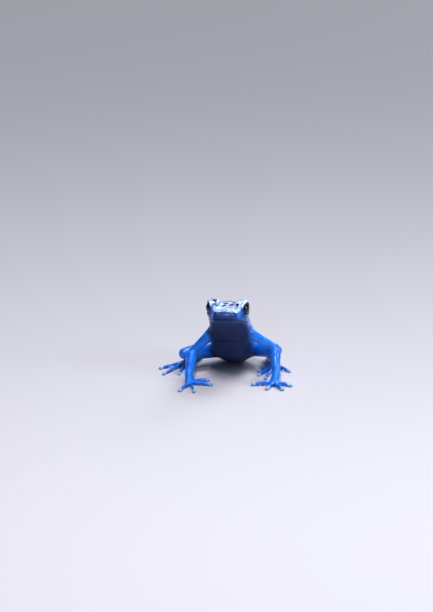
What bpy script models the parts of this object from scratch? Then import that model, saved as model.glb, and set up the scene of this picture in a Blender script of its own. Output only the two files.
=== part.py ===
"""Blue poison dart frog, life size, sitting up on its forelegs.

The frog faces -Y with its left side at +X, and rests on small flats at z = 0.
"""

import math

import bmesh
import bpy
from mathutils import Vector

MM = 0.001
SNOUT_VENT = 44.0 * MM
# Places and sizes below are in millimetres on a 44 mm frog, and scale with its length.
U = SNOUT_VENT / 44.0
GAP = 0.3 * MM

# Skin colours of the sections, as red, green and blue between 0 and 1.
AZURE = (0.10, 0.34, 0.86)
COBALT = (0.03, 0.16, 0.72)
NAVY = (0.01, 0.05, 0.22)
PUPIL_BLACK = (0.01, 0.01, 0.012)
SKIN_ROUGHNESS = 0.35
EYE_ROUGHNESS = 0.08

# Trunk stations from snout to vent. Each is a slanted section: the back's point and the
# belly's point in the middle plane as (y, z), half the width, how high between the two
# the widest line runs, and how square the upper and the lower half are.
TRUNK = (
    ((-14.7, 25.7), (-14.7, 23.9), 2.1, 0.50, 2.2, 2.2),
    ((-14.3, 26.25), (-14.4, 23.1), 3.2, 0.45, 2.4, 2.2),
    ((-12.9, 26.7), (-13.1, 21.9), 4.4, 0.45, 2.7, 2.2),
    ((-9.8, 27.0), (-10.0, 19.9), 5.6, 0.45, 2.7, 2.2),
    ((-6.2, 27.3), (-7.2, 17.8), 6.4, 0.45, 2.7, 2.2),
    ((-2.2, 27.2), (-5.3, 15.6), 6.7, 0.45, 2.5, 2.2),
    ((1.8, 26.0), (-4.0, 12.8), 6.6, 0.45, 2.3, 2.2),
    ((6.2, 23.5), (-2.0, 9.4), 6.9, 0.45, 2.1, 2.3),
    ((10.9, 19.8), (1.8, 5.8), 7.6, 0.42, 2.1, 2.3),
    ((15.2, 15.4), (7.2, 2.8), 7.6, 0.42, 2.1, 2.3),
    ((18.8, 10.4), (13.4, 0.7), 6.0, 0.45, 2.1, 2.2),
    ((21.3, 6.0), (18.8, -0.1), 3.4, 0.50, 2.1, 2.1),
    ((22.3, 3.6), (21.9, 1.6), 1.0, 0.50, 2.0, 2.0),
)
TRUNK_SIDES = 28
TRUNK_RINGS_A_STATION = 2
# How far the snout's and the vent's poles stand out from their end sections, as (y, z).
SNOUT_POLE, VENT_POLE = (-0.25, 0.0), (0.3, -0.2)

# The neck's cut passes through these two points of the middle plane.
NECK_TOP = (1.2, 27.6)
NECK_FOOT = (-4.6, 13.9)

# The mouth's line in side view, from ahead of the snout to the corner behind the eye and
# on to the neck, where the jaw hinges.
MOUTH_LINE = ((-17.0, 24.7), (-14.2, 24.1), (-11.0, 22.9), (-7.2, 21.5), (-3.5, 20.5), (1.0, 18.8))
LIP_HEIGHT, LIP_PROUD = 0.55, 0.16

EYE_PLACE = (4.95, -6.8, 26.15)
EYE_RADIUS = 2.4
EYE_LOOKS = (0.92, -0.38, 0.05)
LID_PLACE = (4.45, -6.5, 26.2)
LID_RADII = (2.75, 3.35, 2.95)
LID_SQUARE = 2.5
LID_OPENING = 2.45

NOSTRIL_STATION, NOSTRIL_ANGLE, NOSTRIL_RADIUS = 1.25, 62.0, 0.38
EARDRUM_STATION, EARDRUM_ANGLE = 4.95, 62.0
EARDRUM_RADIUS, EARDRUM_THICKNESS, EARDRUM_PROUD = 1.15, 0.8, 0.15

# Arms: shoulder, elbow, wrist and knuckles, then the four fingertips on the floor.
ARMS = {
    "left": {
        "shoulder": (5.2, -0.6, 16.6),
        "elbow": (15.2, 0.4, 10.6),
        "wrist": (16.6, -5.5, 3.0),
        "knuckles": (16.1, -8.3, 1.0),
        "tips": ((9.2, -9.9), (14.4, -13.6), (19.4, -13.6), (21.6, -9.2)),
    },
    "right": {
        "shoulder": (-5.2, -0.6, 16.4),
        "elbow": (-13.0, -0.8, 8.2),
        "wrist": (-13.0, -9.0, 3.0),
        "knuckles": (-12.2, -11.8, 1.0),
        "tips": ((-6.8, -7.4), (-5.2, -12.2), (-9.6, -19.8), (-14.4, -19.6)),
    },
}
UPPER_ARM_RADII = (2.1, 1.95, 1.7, 1.55, 1.42)
FOREARM_RADII = (1.42, 1.66, 1.68, 1.5, 1.28)
PALM_RADII = ((1.3, 1.25), (1.5, 1.1), (1.8, 0.9))
FINGER_RADIUS, FINGER_DISC = 0.56, (0.86, 0.95, 0.5)

# Legs: hip, knee, heel and ball of the foot, then the five toe tips on the floor.
LEGS = {
    "left": {
        "hip": (3.8, 15.8, 5.8),
        "knee": (15.4, 4.4, 8.3),
        "heel": (11.0, 19.8, 1.7),
        "ball": (14.2, 10.6, 1.0),
        "tips": ((10.6, 8.6), (9.4, 4.6), (9.8, 0.6), (12.6, -2.8), (19.8, 6.2)),
    },
    "right": {
        "hip": (-3.8, 15.2, 5.4),
        "knee": (-16.3, 3.0, 6.3),
        "heel": (-12.6, 18.8, 1.7),
        "ball": (-16.9, 9.9, 1.0),
        "tips": ((-14.0, 6.2), (-14.6, 2.4), (-17.4, -1.8), (-22.6, -2.6), (-24.8, 3.4)),
    },
}
THIGH_RADII = (3.1, 3.15, 2.95, 2.5, 1.9)
SHANK_RADII = (1.9, 2.25, 2.15, 1.6, 1.2)
TARSUS_RADII = (1.2, 1.0, 1.05)
BALL_RADII = ((1.05, 1.0), (1.6, 0.9), (1.8, 0.7))
BALL_LENGTH = 2.6
TOE_RADIUS, TOE_DISC = 0.5, (0.68, 0.8, 0.48)

LIMB_SIDES, DIGIT_SIDES, BALL_SIDES = 14, 8, 10
LIMB_RINGS, DIGIT_RINGS, BALL_RINGS = 9, 6, 6
CAP_RINGS = 2
# A digit rises by its arch at the knuckle and by half of it at the last joint, which lie
# at these shares of its length. Its thickness runs from root to tip by the last row.
DIGIT_ARCH = 0.3
KNUCKLE_SHARE, LAST_JOINT_SHARE = 0.4, 0.75
DIGIT_TAPER = (1.5, 1.1, 0.95, 0.8)
# How far each digit's root lies towards its tip, and how deep the tips sink into the floor.
ROOT_SPREAD = 0.1
TIP_SUNK = 0.05
TIP_SHORT = 0.2
# A cutter for an opening starts here and clears the surface by this much, in millimetres.
CLEAR = 8.0
# Half the width of the blocks that cut the whole frog.
FAR = 60.0
# The step, in stations and in radians, for finding the way the skin faces.
PROBE = 0.05
LEAST_SPAN = 1e-6


def at(point):
    """A place given in frog millimetres, as a vector in metres."""
    return Vector(point) * U


def mirrored(point, side):
    """The place on the named side of a point given for the left."""
    return (point[0] if side == "left" else -point[0], point[1], point[2])


def skin_material(name, colour, roughness):
    """A plain moist material, used for one section of the frog."""
    material = bpy.data.materials.new(name)
    material.use_nodes = True
    shader = material.node_tree.nodes["Principled BSDF"]
    shader.inputs["Base Color"].default_value = (*colour, 1.0)
    shader.inputs["Roughness"].default_value = roughness
    shader.inputs["Metallic"].default_value = 0.0
    material.diffuse_color = (*colour, 1.0)
    return material


def smooth(rows, t):
    """The values at t along rows of equal length, on a smooth curve through every row."""
    last = len(rows) - 1
    i = min(int(t), last - 1)
    f = t - i
    before, here, after, beyond = (
        rows[max(0, min(last, i + k))] for k in (-1, 0, 1, 2)
    )
    return [
        q
        + 0.5 * f * (r - p + f * (2 * p - 5 * q + 4 * r - s + f * (3 * (q - r) + s - p)))
        for p, q, r, s in zip(before, here, after, beyond)
    ]


def flat_row(station):
    """A trunk station as one row of numbers."""
    back, belly, *rest = station
    return (*back, *belly, *rest)


TRUNK_ROWS = [flat_row(station) for station in TRUNK]


def trunk_point(t, angle, grow=0.0):
    """The place on the trunk's skin at station t and angle from the back, in radians."""
    back_y, back_z, belly_y, belly_z, width, mid, upper, lower = smooth(TRUNK_ROWS, t)
    back = Vector((0.0, back_y, back_z))
    belly = Vector((0.0, belly_y, belly_z))
    axis = (back - belly).normalized()
    centre = belly.lerp(back, mid)
    across = math.sin(angle)
    along = math.cos(angle)
    square = upper if along >= 0 else lower
    reach = (back - centre).length if along >= 0 else (centre - belly).length
    x = (width + grow) * math.copysign(abs(across) ** (2 / square), across)
    rise = (reach + grow) * math.copysign(abs(along) ** (2 / square), along)
    return (centre + axis * rise + Vector((x, 0.0, 0.0))) * U


def trunk_normal(t, angle):
    """The outward direction of the trunk's skin there."""
    here = trunk_point(t, angle)
    ahead = trunk_point(t + PROBE, angle) - here
    aside = trunk_point(t, angle + PROBE) - here
    normal = aside.cross(ahead).normalized()
    centre = (trunk_point(t, 0.0) + trunk_point(t, math.pi)) / 2
    return normal if normal.dot(here - centre) > 0 else -normal


def new_object(name, mesh, material=None):
    """An object of this mesh in the scene, shaded smooth, with its faces pointing out."""
    if material is not None:
        mesh.materials.append(material)
    mesh.shade_smooth()
    obj = bpy.data.objects.new(name, mesh)
    bpy.context.scene.collection.objects.link(obj)
    return obj


def loft(name, rings, start, end, material=None):
    """A closed body through rings of points, with a pole at each end."""
    body = bmesh.new()
    rows = [[body.verts.new(point) for point in ring] for ring in rings]
    count = len(rows[0])
    for row, following in zip(rows, rows[1:]):
        for k in range(count):
            n = (k + 1) % count
            body.faces.new((row[k], row[n], following[n], following[k]))
    for pole, row in ((start, rows[0]), (end, rows[-1])):
        tip = body.verts.new(pole)
        for k in range(count):
            body.faces.new((tip, row[k], row[(k + 1) % count]))
    bmesh.ops.recalc_face_normals(body, faces=body.faces)
    mesh = bpy.data.meshes.new(name)
    body.to_mesh(mesh)
    body.free()
    return new_object(name, mesh, material)


def trunk(name, grow=0.0, material=None):
    """The head and body in one, grown outwards by that many frog millimetres."""
    last = len(TRUNK) - 1
    count = last * TRUNK_RINGS_A_STATION
    rings = [
        [
            trunk_point(last * k / count, 2 * math.pi * n / TRUNK_SIDES, grow)
            for n in range(TRUNK_SIDES)
        ]
        for k in range(count + 1)
    ]
    snout_push = at((0.0, SNOUT_POLE[0] - grow, SNOUT_POLE[1]))
    vent_push = at((0.0, VENT_POLE[0] + grow, VENT_POLE[1]))
    snout = (trunk_point(0, 0) + trunk_point(0, math.pi)) / 2 + snout_push
    vent = (trunk_point(last, 0) + trunk_point(last, math.pi)) / 2 + vent_push
    return loft(name, rings, snout, vent, material)


def tube(name, path, radii, sides, rings, material=None):
    """A closed limb along a smooth path, with round ends.

    The radii are numbers, or pairs of half the width and half the height. The height
    stays as near upright as the path lets it.
    """
    pairs = [r if isinstance(r, tuple) else (r, r) for r in radii]
    last_point, last_radius = len(path) - 1, len(pairs) - 1
    places = [
        Vector(smooth(path, last_point * k / (rings - 1))) for k in range(rings)
    ]
    sizes = [smooth(pairs, last_radius * k / (rings - 1)) for k in range(rings)]
    heads = [
        (places[min(k + 1, rings - 1)] - places[max(k - 1, 0)]).normalized()
        for k in range(rings)
    ]

    def ring(place, heading, wide, high):
        side = heading.cross(Vector((0.0, 0.0, 1.0)))
        if side.length < 0.2:
            side = heading.cross(Vector((0.0, 1.0, 0.0)))
        side.normalize()
        top = side.cross(heading).normalized()
        turns = (2 * math.pi * n / sides for n in range(sides))
        return [
            (place + side * (wide * math.cos(a)) + top * (high * math.sin(a))) * U
            for a in turns
        ]

    def cap(place, heading, size):
        """Rings that round off an end, from the full size to just short of the pole."""
        depth = min(size)
        angles = [math.pi / 2 * k / (CAP_RINGS + 1) for k in range(1, CAP_RINGS + 1)]
        return [
            (place + heading * (depth * math.sin(a)), size[0] * math.cos(a), size[1] * math.cos(a))
            for a in angles
        ], place + heading * depth

    first_cap, first_pole = cap(places[0], -heads[0], sizes[0])
    last_cap, last_pole = cap(places[-1], heads[-1], sizes[-1])
    loops = [ring(p, heads[0], w, h) for p, w, h in reversed(first_cap)]
    loops += [ring(p, d, *s) for p, d, s in zip(places, heads, sizes)]
    loops += [ring(p, heads[-1], w, h) for p, w, h in last_cap]
    return loft(name, loops, first_pole * U, last_pole * U, material)


def ball(name, centre, radii, heading=None, segments=16, rings=10, square=2.0, material=None):
    """A round or flattened ball, its second radius along the heading, boxier above square 2."""
    body = bmesh.new()
    bmesh.ops.create_uvsphere(body, u_segments=segments, v_segments=rings, radius=1.0)
    mesh = bpy.data.meshes.new(name)
    body.to_mesh(mesh)
    body.free()
    obj = new_object(name, mesh, material)
    turn = 0.0 if heading is None else math.atan2(-heading[0], heading[1])
    for vertex in mesh.vertices:
        swell = sum(abs(value) ** square for value in vertex.co) ** (-1 / square)
        x, y, z = (value * swell * radius for value, radius in zip(vertex.co, radii))
        vertex.co = (
            at(centre)
            + Vector(
                (
                    x * math.cos(turn) - y * math.sin(turn),
                    x * math.sin(turn) + y * math.cos(turn),
                    z,
                )
            )
            * U
        )
    return obj


def rod(name, start, end, radius, sides=20):
    """A straight round bar between two places in metres."""
    axis = (end - start).normalized()
    side = axis.cross(Vector((0.0, 0.0, 1.0))).normalized()
    top = side.cross(axis)
    turns = [2 * math.pi * n / sides for n in range(sides)]
    rings = [
        [place + (side * math.cos(a) + top * math.sin(a)) * radius for a in turns]
        for place in (start, end)
    ]
    return loft(name, rings, start, end)


def prism(name, outline, half_width):
    """A block with this side view, a list of (y, z), reaching both ways from the middle."""
    body = bmesh.new()
    near = [body.verts.new(at((-half_width, y, z))) for y, z in outline]
    far = [body.verts.new(at((half_width, y, z))) for y, z in outline]
    body.faces.new(near)
    body.faces.new(list(reversed(far)))
    for k in range(len(outline)):
        n = (k + 1) % len(outline)
        body.faces.new((near[k], far[k], far[n], near[n]))
    bmesh.ops.recalc_face_normals(body, faces=body.faces)
    mesh = bpy.data.meshes.new(name)
    body.to_mesh(mesh)
    body.free()
    return new_object(name, mesh)


def keep_largest(mesh):
    """Drops every closed surface of the mesh but the largest."""
    body = bmesh.new()
    body.from_mesh(mesh)
    left = set(body.verts)
    shells = []
    while left:
        shell, edge = set(), [left.pop()]
        while edge:
            vertex = edge.pop()
            shell.add(vertex)
            for link in vertex.link_edges:
                other = link.other_vert(vertex)
                if other in left:
                    left.discard(other)
                    edge.append(other)
        shells.append(shell)
    shells.sort(key=shell_size, reverse=True)
    for shell in shells[1:]:
        bmesh.ops.delete(body, geom=list(shell), context="VERTS")
    body.to_mesh(mesh)
    body.free()


def shell_size(shell):
    """The volume of the box round a set of vertices."""
    spans = [[vertex.co[k] for vertex in shell] for k in range(3)]
    return math.prod(max(span) - min(span) + LEAST_SPAN for span in spans)


def apply_boolean(obj, operation, others):
    """Joins, cuts or intersects the object with the others, which are then removed."""
    helpers = bpy.data.collections.new(obj.name + "_helpers")
    bpy.context.scene.collection.children.link(helpers)
    for other in others:
        bpy.context.scene.collection.objects.unlink(other)
        helpers.objects.link(other)
    change = obj.modifiers.new(operation.lower(), "BOOLEAN")
    change.operation = operation
    change.solver = "EXACT"
    if len(others) == 1:
        change.object = others[0]
    else:
        change.operand_type = "COLLECTION"
        change.collection = helpers
    bpy.context.view_layer.update()
    graph = bpy.context.evaluated_depsgraph_get()
    made = bpy.data.meshes.new_from_object(obj.evaluated_get(graph))
    obj.modifiers.clear()
    old, obj.data = obj.data, made
    bpy.data.meshes.remove(old)
    for other in others:
        bpy.data.objects.remove(other)
    bpy.data.collections.remove(helpers)
    keep_largest(obj.data)
    return obj


def trim(obj, point, normal):
    """Cuts the object by a plane and keeps what lies behind it, with a flat closed face."""
    body = bmesh.new()
    body.from_mesh(obj.data)
    geometry = list(body.verts) + list(body.edges) + list(body.faces)
    made = bmesh.ops.bisect_plane(
        body, geom=geometry, dist=1e-7, plane_co=point, plane_no=normal, clear_outer=True
    )
    rim = [g for g in made["geom_cut"] if isinstance(g, bmesh.types.BMEdge)]
    if rim:
        bmesh.ops.holes_fill(body, edges=rim, sides=0)
    bmesh.ops.recalc_face_normals(body, faces=body.faces)
    body.to_mesh(obj.data)
    body.free()
    keep_largest(obj.data)
    return obj


def joint_plane(before, joint, after):
    """The plane between two limb lengths: a point in metres, and the way the limb runs."""
    point = at(joint)
    inwards = (point - at(before)).normalized()
    outwards = (at(after) - point).normalized()
    return point, (inwards + outwards).normalized()


def lips():
    """A low ridge along both sides of the mouth's line, as far as its corners."""
    line = MOUTH_LINE[:-1]
    upper = [(y, z + LIP_HEIGHT) for y, z in line]
    lower = [(y, z - LIP_HEIGHT) for y, z in reversed(line)]
    ridge = trunk("lips", LIP_PROUD)
    return apply_boolean(ridge, "INTERSECT", [prism("lip_band", upper + lower, FAR)])


def head_and_torso(skin):
    """The upper head, the lower jaw and the torso, parted by thin cuts."""
    foot, top = at((0.0, *NECK_FOOT)), at((0.0, *NECK_TOP))
    backwards = Vector((1.0, 0.0, 0.0)).cross(foot - top).normalized()
    if backwards.y < 0:
        backwards = -backwards
    torso = trunk("torso", material=skin)
    trim(torso, foot + backwards * GAP / 2, -backwards)
    head = trunk("head", material=skin)
    apply_boolean(head, "UNION", [lips()])
    trim(head, foot - backwards * GAP / 2, backwards)
    jaw = head.copy()
    jaw.data = head.data.copy()
    jaw.name = "lower_jaw"
    bpy.context.scene.collection.objects.link(jaw)
    front, back = MOUTH_LINE[0][0], MOUTH_LINE[-1][0]
    floor = [(back, 0.0), (front, 0.0)]
    lip = [(y, z + GAP / U) for y, z in MOUTH_LINE]
    apply_boolean(jaw, "INTERSECT", [prism("jaw_block", [*MOUTH_LINE, *floor], FAR)])
    apply_boolean(head, "DIFFERENCE", [prism("jaw_room", [*lip, *floor], FAR)])
    return head, jaw, torso


def add_eyes(head, eye_skin):
    """Lids raised over the eyes, the sockets under them, and the eyeballs."""
    lids, rooms, eyes = [], [], []
    for side in ("left", "right"):
        place = mirrored(EYE_PLACE, side)
        looks = Vector(mirrored(EYE_LOOKS, side)).normalized()
        room = EYE_RADIUS + GAP / U
        lid_place = mirrored(LID_PLACE, side)
        lids.append(ball(f"{side}_lid", lid_place, LID_RADII, None, 20, 14, LID_SQUARE))
        rooms.append(ball(f"{side}_socket", place, (room,) * 3, segments=20, rings=14))
        centre = at(place)
        beyond = centre + looks * CLEAR * U
        rooms.append(rod(f"{side}_lid_opening", centre, beyond, LID_OPENING * U))
        radii = (EYE_RADIUS,) * 3
        eyes.append(ball(f"{side}_eye", place, radii, segments=20, rings=14, material=eye_skin))
    apply_boolean(head, "UNION", lids)
    apply_boolean(head, "DIFFERENCE", rooms)
    return eyes


def add_nostrils(head):
    """Two small pits at the corners of the snout."""
    pits = []
    for sign in (1, -1):
        angle = math.radians(NOSTRIL_ANGLE) * sign
        place = trunk_point(NOSTRIL_STATION, angle) / U
        pits.append(ball("nostril_pit", place, (NOSTRIL_RADIUS,) * 3, segments=8, rings=6))
    return apply_boolean(head, "DIFFERENCE", pits)


def add_eardrums(head, skin):
    """A round drum behind each eye, let into the side of the head."""
    seats, drums = [], []
    for side, sign in (("left", 1), ("right", -1)):
        angle = math.radians(EARDRUM_ANGLE) * sign
        place = trunk_point(EARDRUM_STATION, angle)
        out = trunk_normal(EARDRUM_STATION, angle)
        top = place + out * EARDRUM_PROUD * U
        bottom = top - out * EARDRUM_THICKNESS * U
        drum = rod(f"{side}_eardrum", bottom, top, EARDRUM_RADIUS * U, sides=16)
        drum.data.materials.append(skin)
        drums.append(drum)
        wide = EARDRUM_RADIUS * U + GAP
        seats.append(rod(f"{side}_drum_seat", bottom - out * GAP, top + out * CLEAR * U, wide, sides=16))
    apply_boolean(head, "DIFFERENCE", seats)
    return drums


def digit(name, root, tip, radius, disc):
    """A finger or toe with its flattened disc, as two overlapping bodies."""
    start = Vector(root)
    end = Vector((*tip, disc[2] - TIP_SUNK))
    run = end - start
    flat = Vector((run.x, run.y, 0.0)).normalized()
    arch = Vector((0.0, 0.0, DIGIT_ARCH))
    knuckle = start + run * KNUCKLE_SHARE + arch
    last = start + run * LAST_JOINT_SHARE + arch / 2
    path = [tuple(p) for p in (start, knuckle, last, end - flat * TIP_SHORT)]
    radii = [radius * share for share in DIGIT_TAPER]
    return [
        tube(name, path, radii, DIGIT_SIDES, DIGIT_RINGS),
        ball(name + "_disc", end, disc, heading=flat, segments=10, rings=6),
    ]


def spread_root(root, tip):
    """A digit's root, moved from the middle of the palm a little towards its tip."""
    return tuple(root.lerp(Vector((*tip, root.z)), ROOT_SPREAD))


def arm(side, skin, body_room):
    """The upper arm, forearm and hand of one side."""
    places = ARMS[side]
    shoulder, elbow = Vector(places["shoulder"]), Vector(places["elbow"])
    wrist, knuckles = Vector(places["wrist"]), Vector(places["knuckles"])
    upper = tube(f"{side}_upper_arm", [shoulder, elbow], UPPER_ARM_RADII, LIMB_SIDES, LIMB_RINGS, skin)
    lower = tube(f"{side}_forearm", [elbow, wrist], FOREARM_RADII, LIMB_SIDES, LIMB_RINGS, skin)
    hand = tube(f"{side}_hand", [wrist, knuckles], PALM_RADII, BALL_SIDES, BALL_RINGS, skin)
    fingers = []
    for number, tip in enumerate(places["tips"], 1):
        root = spread_root(knuckles, tip)
        fingers += digit(f"{side}_finger_{number}", root, tip, FINGER_RADIUS, FINGER_DISC)
    apply_boolean(hand, "UNION", fingers)

    part_at(upper, lower, joint_plane(shoulder, elbow, wrist))
    part_at(lower, hand, joint_plane(elbow, wrist, knuckles))
    apply_boolean(upper, "DIFFERENCE", [body_room])
    return [upper, lower, hand]


def leg(side, skin, body_room):
    """The thigh, shank, tarsus and foot of one side."""
    places = LEGS[side]
    hip, knee = Vector(places["hip"]), Vector(places["knee"])
    heel, sole = Vector(places["heel"]), Vector(places["ball"])
    middle = sum((Vector((*tip, sole.z)) for tip in places["tips"]), Vector()) / len(places["tips"])
    toes_root = sole + (middle - sole).normalized() * BALL_LENGTH

    thigh = tube(f"{side}_thigh", [hip, knee], THIGH_RADII, LIMB_SIDES, LIMB_RINGS, skin)
    shank = tube(f"{side}_shank", [knee, heel], SHANK_RADII, LIMB_SIDES, LIMB_RINGS, skin)
    tarsus = tube(f"{side}_tarsus", [heel, sole], TARSUS_RADII, BALL_SIDES, BALL_RINGS, skin)
    foot = tube(f"{side}_foot", [sole, toes_root], BALL_RADII, BALL_SIDES, BALL_RINGS, skin)
    toes = []
    for number, tip in enumerate(places["tips"], 1):
        root = spread_root(sole, tip)
        toes += digit(f"{side}_toe_{number}", root, tip, TOE_RADIUS, TOE_DISC)
    apply_boolean(foot, "UNION", toes)

    part_at(thigh, shank, joint_plane(hip, knee, heel))
    part_at(shank, tarsus, joint_plane(knee, heel, sole))
    part_at(tarsus, foot, joint_plane(heel, sole, toes_root))
    apply_boolean(thigh, "DIFFERENCE", [body_room])
    return [thigh, shank, tarsus, foot]


def part_at(before, after, plane):
    """Cuts both limb lengths at the joint's plane and leaves the gap between them."""
    point, along = plane
    trim(before, point - along * GAP / 2, along)
    trim(after, point + along * GAP / 2, -along)


def stand_on_origin(objects):
    """Parents everything to one empty that sets the middle of the base at the origin."""
    corners = [vertex.co for obj in objects for vertex in obj.data.vertices]
    low = [min(corner[k] for corner in corners) for k in range(3)]
    high = [max(corner[k] for corner in corners) for k in range(3)]
    frog = bpy.data.objects.new("frog", None)
    bpy.context.scene.collection.objects.link(frog)
    frog.location = (-(low[0] + high[0]) / 2, -(low[1] + high[1]) / 2, -low[2])
    for obj in objects:
        obj.parent = frog


def main():
    for obj in list(bpy.data.objects):
        bpy.data.objects.remove(obj)
    back_skin = skin_material("back_skin", AZURE, SKIN_ROUGHNESS)
    limb_skin = skin_material("limb_skin", COBALT, SKIN_ROUGHNESS)
    drum_skin = skin_material("drum_skin", NAVY, SKIN_ROUGHNESS)
    eye_skin = skin_material("eye_black", PUPIL_BLACK, EYE_ROUGHNESS)

    head, jaw, torso = head_and_torso(back_skin)
    pieces = [head, jaw, torso]
    pieces += add_eyes(head, eye_skin)
    add_nostrils(head)
    pieces += add_eardrums(head, drum_skin)
    for side in ("left", "right"):
        pieces += arm(side, limb_skin, trunk("body_room", GAP / U))
        pieces += leg(side, limb_skin, trunk("body_room", GAP / U))
    for piece in pieces:
        trim(piece, Vector((0.0, 0.0, 0.0)), Vector((0.0, 0.0, -1.0)))
    stand_on_origin(pieces)


main()
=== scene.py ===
"""Looks of the blue poison dart frog: one moist skin over all its flesh, and two eyes.

The skin is modelled as clay: a grid holds each place's distance to the flesh's surface,
shapes are melted into it, its surface is taken off as one mesh, and creases and ridges are
then pressed into that. Places are in frog millimetres, as in the part's own source: x to
the frog's left, y backwards, z up from the floor.
"""

import math

import bpy
import numpy as np
from mathutils import Matrix, Vector, kdtree, noise


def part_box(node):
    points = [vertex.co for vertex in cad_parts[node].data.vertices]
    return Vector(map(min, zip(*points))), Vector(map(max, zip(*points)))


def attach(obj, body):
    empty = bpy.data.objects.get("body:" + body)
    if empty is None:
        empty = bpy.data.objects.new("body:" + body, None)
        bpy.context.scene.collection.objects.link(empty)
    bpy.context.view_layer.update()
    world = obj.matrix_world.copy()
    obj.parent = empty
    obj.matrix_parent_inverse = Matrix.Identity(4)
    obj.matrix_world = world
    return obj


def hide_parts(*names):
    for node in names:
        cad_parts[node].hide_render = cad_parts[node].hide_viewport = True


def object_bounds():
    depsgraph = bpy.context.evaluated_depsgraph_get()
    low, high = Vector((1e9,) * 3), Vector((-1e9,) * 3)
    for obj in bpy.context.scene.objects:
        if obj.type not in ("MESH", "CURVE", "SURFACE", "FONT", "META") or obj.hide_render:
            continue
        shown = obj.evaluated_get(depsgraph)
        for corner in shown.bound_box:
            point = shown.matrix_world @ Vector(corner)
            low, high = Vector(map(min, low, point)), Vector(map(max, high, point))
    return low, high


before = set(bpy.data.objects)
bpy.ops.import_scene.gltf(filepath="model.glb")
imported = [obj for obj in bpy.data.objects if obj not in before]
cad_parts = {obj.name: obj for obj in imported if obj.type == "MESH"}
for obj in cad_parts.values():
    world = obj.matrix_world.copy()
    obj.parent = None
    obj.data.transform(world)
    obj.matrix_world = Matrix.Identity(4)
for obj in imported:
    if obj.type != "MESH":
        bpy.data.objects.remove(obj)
cad_low, cad_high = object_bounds()

MM = 0.001

# Trunk stations from snout to vent. Each is a slanted section: the back's point and the
# belly's point in the middle plane as (y, z), half the width, how high between the two
# the widest line runs, and how square the upper and the lower half are.
TRUNK = (
    ((-14.7, 25.7), (-14.7, 23.9), 2.1, 0.50, 2.2, 2.2),
    ((-14.3, 26.25), (-14.4, 23.1), 3.2, 0.45, 2.4, 2.2),
    ((-12.9, 26.7), (-13.1, 21.9), 4.4, 0.45, 2.7, 2.2),
    ((-9.8, 27.0), (-10.0, 19.9), 5.6, 0.45, 2.7, 2.2),
    ((-6.2, 27.3), (-7.2, 17.8), 6.4, 0.45, 2.7, 2.2),
    ((-2.2, 27.2), (-5.3, 15.6), 6.7, 0.45, 2.5, 2.2),
    ((1.8, 26.0), (-4.0, 12.8), 6.6, 0.45, 2.3, 2.2),
    ((6.2, 23.5), (-2.0, 9.4), 6.9, 0.45, 2.1, 2.3),
    ((10.9, 19.8), (1.8, 5.8), 7.6, 0.42, 2.1, 2.3),
    ((15.2, 15.4), (7.2, 2.8), 7.6, 0.42, 2.1, 2.3),
    ((18.8, 10.4), (13.4, 0.7), 6.0, 0.45, 2.1, 2.2),
    ((21.3, 6.0), (18.8, -0.1), 3.4, 0.50, 2.1, 2.1),
    ((22.3, 3.6), (21.9, 1.6), 1.0, 0.50, 2.0, 2.0),
)
TRUNK_ROWS = np.array([(*back, *belly, *rest) for back, belly, *rest in TRUNK])
# The distances off the trunk over which its looks give way to a limb's.
OFF_TRUNK = (0.2, 2.2)

# The mouth's line as (y, z), and the stretch of y over which it ends at the corners.
MOUTH_LINE = ((-17.0, 24.7), (-14.2, 24.1), (-11.0, 22.9), (-7.2, 21.5), (-3.5, 20.5))
MOUTH_CORNER = (-4.8, -3.4)

EYE_PLACE = (4.95, -6.8, 26.15)
EYE_RADIUS = 2.4
EYE_LOOKS = (0.92, -0.38, 0.05)
# The lids' opening: how far it reaches ahead and back, how far up and down, and how low
# its middle sits.
LID_OPENING, LID_LOW = (2.02, 1.9), 0.1
LID_THICKNESS = 0.24
NOSTRIL_PLACE = (3.2, -13.5, 25.9)
EARDRUM_PLACE, EARDRUM_RADIUS = (6.35, -3.3, 23.6), 1.12
BROW_PLACE, BROW_RADII, BROW_SQUARE = (4.8, -6.5, 26.2), (2.4, 3.4, 2.9), 3.2

ARMS = {
    "left": {
        "shoulder": (5.2, -0.6, 16.6),
        "elbow": (15.2, 0.4, 10.6),
        "wrist": (16.6, -5.5, 3.0),
        "knuckles": (16.1, -8.3, 1.0),
        "tips": ((9.2, -9.9), (14.4, -13.6), (19.4, -13.6), (21.6, -9.2)),
    },
    "right": {
        "shoulder": (-5.2, -0.6, 16.4),
        "elbow": (-13.0, -0.8, 8.2),
        "wrist": (-13.0, -9.0, 3.0),
        "knuckles": (-12.2, -11.8, 1.0),
        "tips": ((-6.8, -7.4), (-5.2, -12.2), (-9.6, -19.8), (-14.4, -19.6)),
    },
}
LEGS = {
    "left": {
        "hip": (3.8, 15.8, 5.8),
        "knee": (15.4, 4.4, 8.3),
        "heel": (11.0, 19.8, 1.7),
        "ball": (14.2, 10.6, 1.0),
        "tips": ((10.6, 8.6), (9.4, 4.6), (9.8, 0.6), (12.6, -2.8), (19.8, 6.2)),
    },
    "right": {
        "hip": (-3.8, 15.2, 5.4),
        "knee": (-16.3, 3.0, 6.3),
        "heel": (-12.6, 18.8, 1.7),
        "ball": (-16.9, 9.9, 1.0),
        "tips": ((-14.0, 6.2), (-14.6, 2.4), (-17.4, -1.8), (-22.6, -2.6), (-24.8, 3.4)),
    },
}
UPPER_ARM_RADII = (2.1, 1.95, 1.7, 1.55, 1.42)
FOREARM_RADII = (1.42, 1.66, 1.68, 1.5, 1.28)
THIGH_RADII = (3.1, 3.15, 2.95, 2.5, 1.9)
SHANK_RADII = (1.9, 2.25, 2.15, 1.6, 1.2)
TARSUS_RADII = (1.2, 1.0, 1.05)
FINGER_RADIUS, FINGER_DISC = 0.56, (0.86, 0.95, 0.5)
TOE_RADIUS, TOE_DISC = 0.5, (0.68, 0.8, 0.48)
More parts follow.
